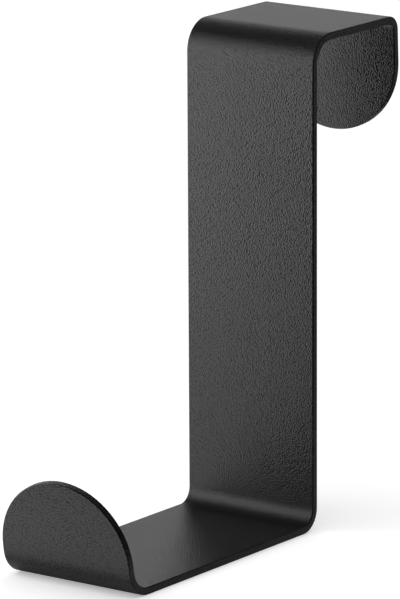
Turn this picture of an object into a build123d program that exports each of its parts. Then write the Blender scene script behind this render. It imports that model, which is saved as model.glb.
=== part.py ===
from build123d import *
import math
import os

# Over door hook, folded from one flat steel strip.
# X runs across the strip, +Y goes from the front of the door to its back, and +Z is up.
# The origin is the middle of the seat, the underside of the top plate.

# Strip, in millimetres; the thickness takes in the powder coat on both faces
strip_width = 30.0
sheet_thickness = 1.5
rim_round = 0.25

# Clear lengths between the folds
door_gap = 26.0
seat_to_arm = 95.0
arm_reach = 57.5

# Straight stretch of each tab, between its fold and its half round end
rear_tab_straight = 6.5
front_tab_straight = 1.1

# How far each tab leans away from the upright strip, in degrees
rear_tab_lean = 2.5
front_tab_lean = 9.0

# Inside radius of each fold
rear_fold_radius = 1.5
top_fold_radius = 4.5
arm_fold_radius = 3.0
tip_fold_radius = 4.5

# The folds are set out on the middle of the sheet, half its thickness from either face
half_sheet = sheet_thickness / 2
plate_z = half_sheet
strip_y = -door_gap / 2 - half_sheet
arm_z = -seat_to_arm - half_sheet

# A fold's corner lies this many radii past the end of its bend, for the two folds that aren't square
rear_setback = math.tan(math.radians(90 - rear_tab_lean) / 2)
tip_setback = math.tan(math.radians(90 - front_tab_lean) / 2)

# Corners of the middle line in the side view, drawn sharp
rear_corner = Vector(0, door_gap / 2 + half_sheet * rear_setback, plate_z)
top_corner = Vector(0, strip_y, plate_z)
arm_corner = Vector(0, strip_y, arm_z)
tip_corner = Vector(0, strip_y - half_sheet - arm_reach - half_sheet * tip_setback, arm_z)

# Each tab runs on from its fold to the centre of its half round end
rear_tab_way = Vector(0, 0, -1).rotate(Axis.X, rear_tab_lean)
front_tab_way = Vector(0, 0, 1).rotate(Axis.X, front_tab_lean)
rear_tab_run = (rear_fold_radius + half_sheet) * rear_setback + rear_tab_straight
front_tab_run = (tip_fold_radius + half_sheet) * tip_setback + front_tab_straight
rear_centre = rear_corner + rear_tab_way * rear_tab_run
front_centre = tip_corner + front_tab_way * front_tab_run


def folded_strip():
    """The strip with its four folds, cut square at the centre of each half round."""
    corners = [rear_centre, rear_corner, top_corner, arm_corner, tip_corner, front_centre]
    inside_radii = [rear_fold_radius, top_fold_radius, arm_fold_radius, tip_fold_radius]
    middle_radii = [radius + half_sheet for radius in inside_radii]
    with BuildPart() as strip:
        with BuildSketch(Plane.YZ):
            with BuildLine():
                FilletPolyline([(corner.Y, corner.Z) for corner in corners], radius=middle_radii)
            trace(line_width=sheet_thickness)
        extrude(amount=strip_width / 2, both=True)

        # Both long rims are rounded, and the square cuts are left for the half rounds
        cuts = ShapeList(
            strip.faces().sort_by_distance(centre)[0]
            for centre in (rear_centre, front_centre)
        )
        rims = strip.faces().filter_by(Axis.X)
        fillet(rims.edges() - cuts.edges(), rim_round)
    return strip.part


def tab_end(centre, tab_way):
    """The half round that ends a tab, as wide as the strip and with its rim rounded."""
    tab_plane = Plane(origin=centre, x_dir=(1, 0, 0), z_dir=Vector(1, 0, 0).cross(tab_way))
    with BuildPart() as end:
        with BuildSketch(tab_plane):
            Circle(strip_width / 2)
            Rectangle(strip_width, strip_width, align=(Align.CENTER, Align.MAX), mode=Mode.SUBTRACT)
        extrude(amount=half_sheet, both=True)
        fillet(end.edges().filter_by(GeomType.CIRCLE), rim_round)
    return end.part


def hook_strip():
    """The whole hook, one piece of sheet from tip to tip."""
    return folded_strip() + tab_end(rear_centre, rear_tab_way) + tab_end(front_centre, front_tab_way)


os.makedirs("parts", exist_ok=True)
hook = hook_strip()
print("hook_strip", round(hook.volume, 1), "mm3,", len(hook.solids()), "solid, valid", hook.is_valid)
export_step(hook, "parts/hook_strip.step")
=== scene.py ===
import math

import bpy
from mathutils import Matrix, Vector


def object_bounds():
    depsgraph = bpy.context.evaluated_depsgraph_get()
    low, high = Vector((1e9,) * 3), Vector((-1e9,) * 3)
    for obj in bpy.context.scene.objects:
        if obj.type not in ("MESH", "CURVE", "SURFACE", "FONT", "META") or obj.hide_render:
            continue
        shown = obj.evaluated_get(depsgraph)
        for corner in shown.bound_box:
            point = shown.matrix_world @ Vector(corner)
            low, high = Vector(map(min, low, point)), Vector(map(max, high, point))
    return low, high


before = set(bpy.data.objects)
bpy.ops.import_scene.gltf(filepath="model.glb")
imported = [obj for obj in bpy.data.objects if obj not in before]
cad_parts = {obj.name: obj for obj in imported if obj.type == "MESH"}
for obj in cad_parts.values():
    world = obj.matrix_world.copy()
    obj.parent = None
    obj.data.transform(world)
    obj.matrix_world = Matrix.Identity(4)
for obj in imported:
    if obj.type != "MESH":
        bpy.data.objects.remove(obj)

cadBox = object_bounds()
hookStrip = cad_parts["hook_strip"]
print("frame loaded:", ", ".join(sorted(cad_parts)))


# Camera, standing in front of the hook, a little to its right and above it
cameraSetup = {
    "azimuth": 36.1659,             # degrees round from the front, towards +X
    "elevation": 13.2642,
    "roll": -0.2799,
    "distance": 1.07455,
    "lens": 328.91,                 # on a 36 mm sensor along the picture's long side
    "aim": (-0.012612, -0.01375, -0.05392),
    "near": 0.05,
    "far": 50,
}


def addCamera(setup):
    azimuth = math.radians(setup["azimuth"])
    elevation = math.radians(setup["elevation"])
    back = Vector((
        math.sin(azimuth) * math.cos(elevation),
        -math.cos(azimuth) * math.cos(elevation),
        math.sin(elevation),
    ))
    right = Vector((math.cos(azimuth), math.sin(azimuth), 0))
    up = back.cross(right)
    level = Matrix((right, up, back)).transposed()
    turned = level @ Matrix.Rotation(math.radians(setup["roll"]), 3, "Z")
    place = Vector(setup["aim"]) + back * setup["distance"]
    camera = bpy.data.objects.new("camera", bpy.data.cameras.new("camera"))
    bpy.context.scene.collection.objects.link(camera)
    camera.matrix_world = Matrix.Translation(place) @ turned.to_4x4()
    camera.data.lens = setup["lens"]
    camera.data.clip_start = setup["near"]
    camera.data.clip_end = setup["far"]
    bpy.context.scene.camera = camera


addCamera(cameraSetup)
print("camera placed")


# Node helpers, used by the coat, the floor, the cards and the surroundings
def addNode(tree, kind, inputs=None, **settings):
    node = tree.nodes.new(kind)
    for name, value in settings.items():
        setattr(node, name, value)
    for name, value in (inputs or {}).items():
        if isinstance(value, bpy.types.NodeSocket):
            tree.links.new(value, node.inputs[name])
        else:
            node.inputs[name].default_value = value
    return node


def newMaterial(name):
    material = bpy.data.materials.new(name)
    material.use_nodes = True
    material.node_tree.nodes.clear()
    return material


def greyOf(level):
    return (level, level, level, 1)


# More than 0 on the rays that see or mirror something, 0 on those that only bring it light
def seenRays(tree):
    path = addNode(tree, "ShaderNodeLightPath")
    straight = {0: path.outputs["Is Camera Ray"], 1: path.outputs["Is Glossy Ray"]}
    seen = addNode(tree, "ShaderNodeMath", straight)
    through = {0: seen.outputs[0], 1: path.outputs["Is Transmission Ray"]}
    return addNode(tree, "ShaderNodeMath", through).outputs[0]


# Powder coat: black and satin, its fine leather-like grain made of small pebbles with creases between.
# Painted shade darkens the creases, in the colour and in the gloss.
powderCoat = {
    "grey": 0.004,
    # The crease grey is painted shade: the colour is darker in the creases between the pebbles
    "creaseShadeGrey": 0.002,
    "roughness": 0.26,
    "gloss": 0.73,                  # on top of a pebble
    # The crease gloss is painted shade too: less gloss in the creases
    "creaseShadeGloss": 0.3,
    "pebbleSize": 0.00032,
    "pebbleStray": 0.9,             # 0 sets the pebbles in rows
    "pebbleFall": (0.2, 0.9),       # where its fall starts and ends, in pebble sizes from its middle
    "pebbleHeight": 0.000048,
    "turn": (0.5, 0.7, 0.3),        # in radians, so that no flat face lies square to the pattern
}


def makePowderCoat(coat):
    material = newMaterial("powderCoat")
    tree = material.node_tree
    place = addNode(tree, "ShaderNodeTexCoord")
    turned = addNode(
        tree, "ShaderNodeMapping",
        {"Vector": place.outputs["Object"], "Rotation": coat["turn"]},
    )
    pebbles = addNode(
        tree, "ShaderNodeTexVoronoi",
        {
            "Vector": turned.outputs[0],
            "Scale": 1 / coat["pebbleSize"],
            "Randomness": coat["pebbleStray"],
        },
    )
    top, crease = coat["pebbleFall"]
    rise = addNode(
        tree, "ShaderNodeMapRange",
        {
            "Value": pebbles.outputs["Distance"],
            "From Min": top,
            "From Max": crease,
            "To Min": 1.0,
            "To Max": 0.0,
        },
    )
    bump = addNode(
        tree, "ShaderNodeBump",
        {"Strength": 1.0, "Distance": coat["pebbleHeight"], "Height": rise.outputs[0]},
    )
    # Painted shade: the colour darkens from a pebble's top into the creases
    shade = addNode(
        tree, "ShaderNodeMix",
        {
            0: rise.outputs[0],
            6: greyOf(coat["creaseShadeGrey"]),      # 6 and 7 are the two colours that it mixes
            7: greyOf(coat["grey"]),
        },
        data_type="RGBA",
    )
    # Painted shade: the gloss falls from a pebble's top into the creases
    gloss = addNode(
        tree, "ShaderNodeMapRange",
        {"Value": rise.outputs[0], "To Min": coat["creaseShadeGloss"], "To Max": coat["gloss"]},
    )
    shader = addNode(
        tree, "ShaderNodeBsdfPrincipled",
        {
            "Base Color": shade.outputs[2],     # 2 is the mixed colour
            "Roughness": coat["roughness"],
            "Specular IOR Level": gloss.outputs[0],
            "Normal": bump.outputs["Normal"],
        },
    )
    addNode(tree, "ShaderNodeOutputMaterial", {"Surface": shader.outputs[0]})
    return material


hookStrip.data.materials.clear()
hookStrip.data.materials.append(makePowderCoat(powderCoat))
print("powder coat on the strip")


# Puts the place of a new floor or card into its mesh
def applyPlace():
    bpy.ops.object.transform_apply(location=True, rotation=True, scale=True)


# Floor, pale and plain, under the flat of the arm
floorSetup = {
    "radius": 3.0,
    "corners": 64,
    "grey": 0.85,
    "glow": 0.35,                   # added where the floor is seen, so that it comes out white
}


def addFloor(setup):
    bpy.ops.object.select_all(action="DESELECT")
    bpy.ops.mesh.primitive_circle_add(
        vertices=setup["corners"],
        radius=setup["radius"],
        fill_type="NGON",
        location=(0, 0, cadBox[0].z),
    )
    applyPlace()
    floor = bpy.context.object
    floor.name = "floor"
    material = newMaterial("floorPaper")
    tree = material.node_tree
    paper = addNode(tree, "ShaderNodeBsdfDiffuse", {"Color": greyOf(setup["grey"])})
    glow = addNode(tree, "ShaderNodeEmission", {"Strength": setup["glow"]})
    none = addNode(tree, "ShaderNodeEmission", {"Strength": 0.0})
    pick = addNode(
        tree, "ShaderNodeMixShader",
        {0: seenRays(tree), 1: none.outputs[0], 2: glow.outputs[0]},
    )
    both = addNode(tree, "ShaderNodeAddShader", {0: paper.outputs[0], 1: pick.outputs[0]})
    addNode(tree, "ShaderNodeOutputMaterial", {"Surface": both.outputs[0]})
    floor.data.materials.append(material)


addFloor(floorSetup)
print("floor laid")


# Cards that only the coat mirrors, each to dim the part of the hook that its note names
upright = (90, 0, 0)
sideways = (90, 0, 90)
flat = (0, 0, 0)
cardLift = 0.00005                  # keeps the flat ones just off the floor
lowZ = cadBox[0].z + cardLift
cards = {
    # right of the front strip, top of the front tab
    "frontCard": {"at": (0.008, -0.12, -0.06), "size": (0.104, 0.073), "turn": upright, "grey": 0.004},
    # narrow patch in the middle of the arm, right of the rear tab
    "shadeCard": {"at": (-0.016, -0.013, -0.05), "size": (0.002, 0.09), "turn": upright, "grey": 0.004},
    # top plate, and the half of the arm that lies towards the tip
    "paleCard": {"at": (-0.16, 0.2, 0.04), "size": (0.34, 0.26), "turn": upright, "grey": 0.75},
    # rims on the right, above all at the top plate and the rear tab
    "backCard": {"at": (0.015, 0.14, 0.0035), "size": (0.09, 0.20), "turn": upright, "grey": 0.05},
    # rims on the right, all round
    "sideCard": {"at": (0.06, -0.045, 0.0535), "size": (0.15, 0.30), "turn": sideways, "grey": 0.004},
    "sideBackCard": {"at": (0.06, 0.085, 0.0535), "size": (0.11, 0.30), "turn": sideways, "grey": 0.35},
    # rims low down, on the right
    "lowCard": {"at": (0.0375, 0, lowZ), "size": (0.045, 0.24), "turn": flat, "grey": 0.3},
    # rim round the rear tab's end
    "rearLowCard": {"at": (0.005, 0.1, lowZ), "size": (0.11, 0.08), "turn": flat, "grey": 0.03},
    # underside of the fold at the tip
    "tipCard": {"at": (-0.02, -0.072, lowZ), "size": (0.07, 0.012), "turn": flat, "grey": 0.55},
}


def addCard(name, setup):
    bpy.ops.object.select_all(action="DESELECT")
    bpy.ops.mesh.primitive_plane_add(
        size=1,
        location=setup["at"],
        rotation=[math.radians(angle) for angle in setup["turn"]],
    )
    card = bpy.context.object
    card.name = name
    card.scale = (*setup["size"], 1)
    applyPlace()
    material = newMaterial(name)
    tree = material.node_tree
    paper = addNode(tree, "ShaderNodeBsdfDiffuse", {"Color": greyOf(setup["grey"])})
    addNode(tree, "ShaderNodeOutputMaterial", {"Surface": paper.outputs[0]})
    card.data.materials.append(material)
    card.visible_camera = False
    card.visible_diffuse = False
    card.visible_shadow = False


for cardName, cardSetup in cards.items():
    addCard(cardName, cardSetup)
print("cards stood up:", len(cards))


# Soft light in front on the left, low, so that its gleam lies on the upright faces
softLight = {
    "azimuth": -46,                 # degrees round from the front
    "distance": 0.14,
    "z": -0.015,
    "width": 0.07,
    "height": 0.16,
    "power": 0.066,
}


def addSoftLight(setup):
    turn = math.radians(setup["azimuth"])
    bpy.ops.object.select_all(action="DESELECT")
    bpy.ops.object.light_add(
        type="AREA",
        location=(setup["distance"] * math.sin(turn), -setup["distance"] * math.cos(turn), setup["z"]),
    )
    lamp = bpy.context.object
    lamp.name = "softLight"
    lamp.data.shape = "RECTANGLE"
    lamp.data.size = setup["width"]
    lamp.data.size_y = setup["height"]
    lamp.data.energy = setup["power"]
    # Aimed over the arm, at half the hook's height
    aim = Vector((0, cadBox[0].y / 2, (cadBox[0].z + cadBox[1].z) / 2))
    lamp.rotation_euler = (aim - lamp.location).to_track_quat("-Z", "Y").to_euler()
    lamp.visible_camera = False


addSoftLight(softLight)
print("soft light on")


# Surroundings: a white sweep, a little higher behind the hook than in front, and a dim room over it
sweepSetup = {
    "backTop": 0.48,                # sine of the height where the white ends behind the hook
    "frontTop": 0.42,               # and in front of it
    "blend": 0.6,                   # how far to front and back, as a sine, the one turns into the other
    "fade": 0.5,                    # share of that height over which it fades, either way
    "overhead": 0.18,               # what is left of the white above it
    "fill": 1.0,                    # light from all round, on rays that neither see nor mirror
}


def addSurroundings(setup):
    world = bpy.data.worlds.new("studio")
    bpy.context.scene.world = world
    world.use_nodes = True
    tree = world.node_tree
    tree.nodes.clear()
    way = addNode(tree, "ShaderNodeTexCoord")
    part = addNode(tree, "ShaderNodeSeparateXYZ", {0: way.outputs["Generated"]})
    top = addNode(
        tree, "ShaderNodeMapRange",
        {
            "Value": part.outputs["Y"],
            "From Min": -setup["blend"],
            "From Max": setup["blend"],
            "To Min": setup["frontTop"],
            "To Max": setup["backTop"],
        },
        interpolation_type="SMOOTHSTEP",
    )
    rise = addNode(
        tree, "ShaderNodeMath", {0: part.outputs["Z"], 1: top.outputs[0]}, operation="DIVIDE",
    )
    sweep = addNode(
        tree, "ShaderNodeMapRange",
        {
            "Value": rise.outputs[0],
            "From Min": 1 - setup["fade"],
            "From Max": 1 + setup["fade"],
            "To Min": 1.0,
            "To Max": setup["overhead"],
        },
        interpolation_type="SMOOTHSTEP",
    )
    backdrop = addNode(tree, "ShaderNodeBackground", {"Strength": sweep.outputs[0]})
    fill = addNode(tree, "ShaderNodeBackground", {"Strength": setup["fill"]})
    pick = addNode(
        tree, "ShaderNodeMixShader",
        {0: seenRays(tree), 1: fill.outputs[0], 2: backdrop.outputs[0]},
    )
    addNode(tree, "ShaderNodeOutputWorld", {"Surface": pick.outputs[0]})


addSurroundings(sweepSetup)
bpy.context.scene.view_settings.view_transform = "Standard"
print("surroundings set")
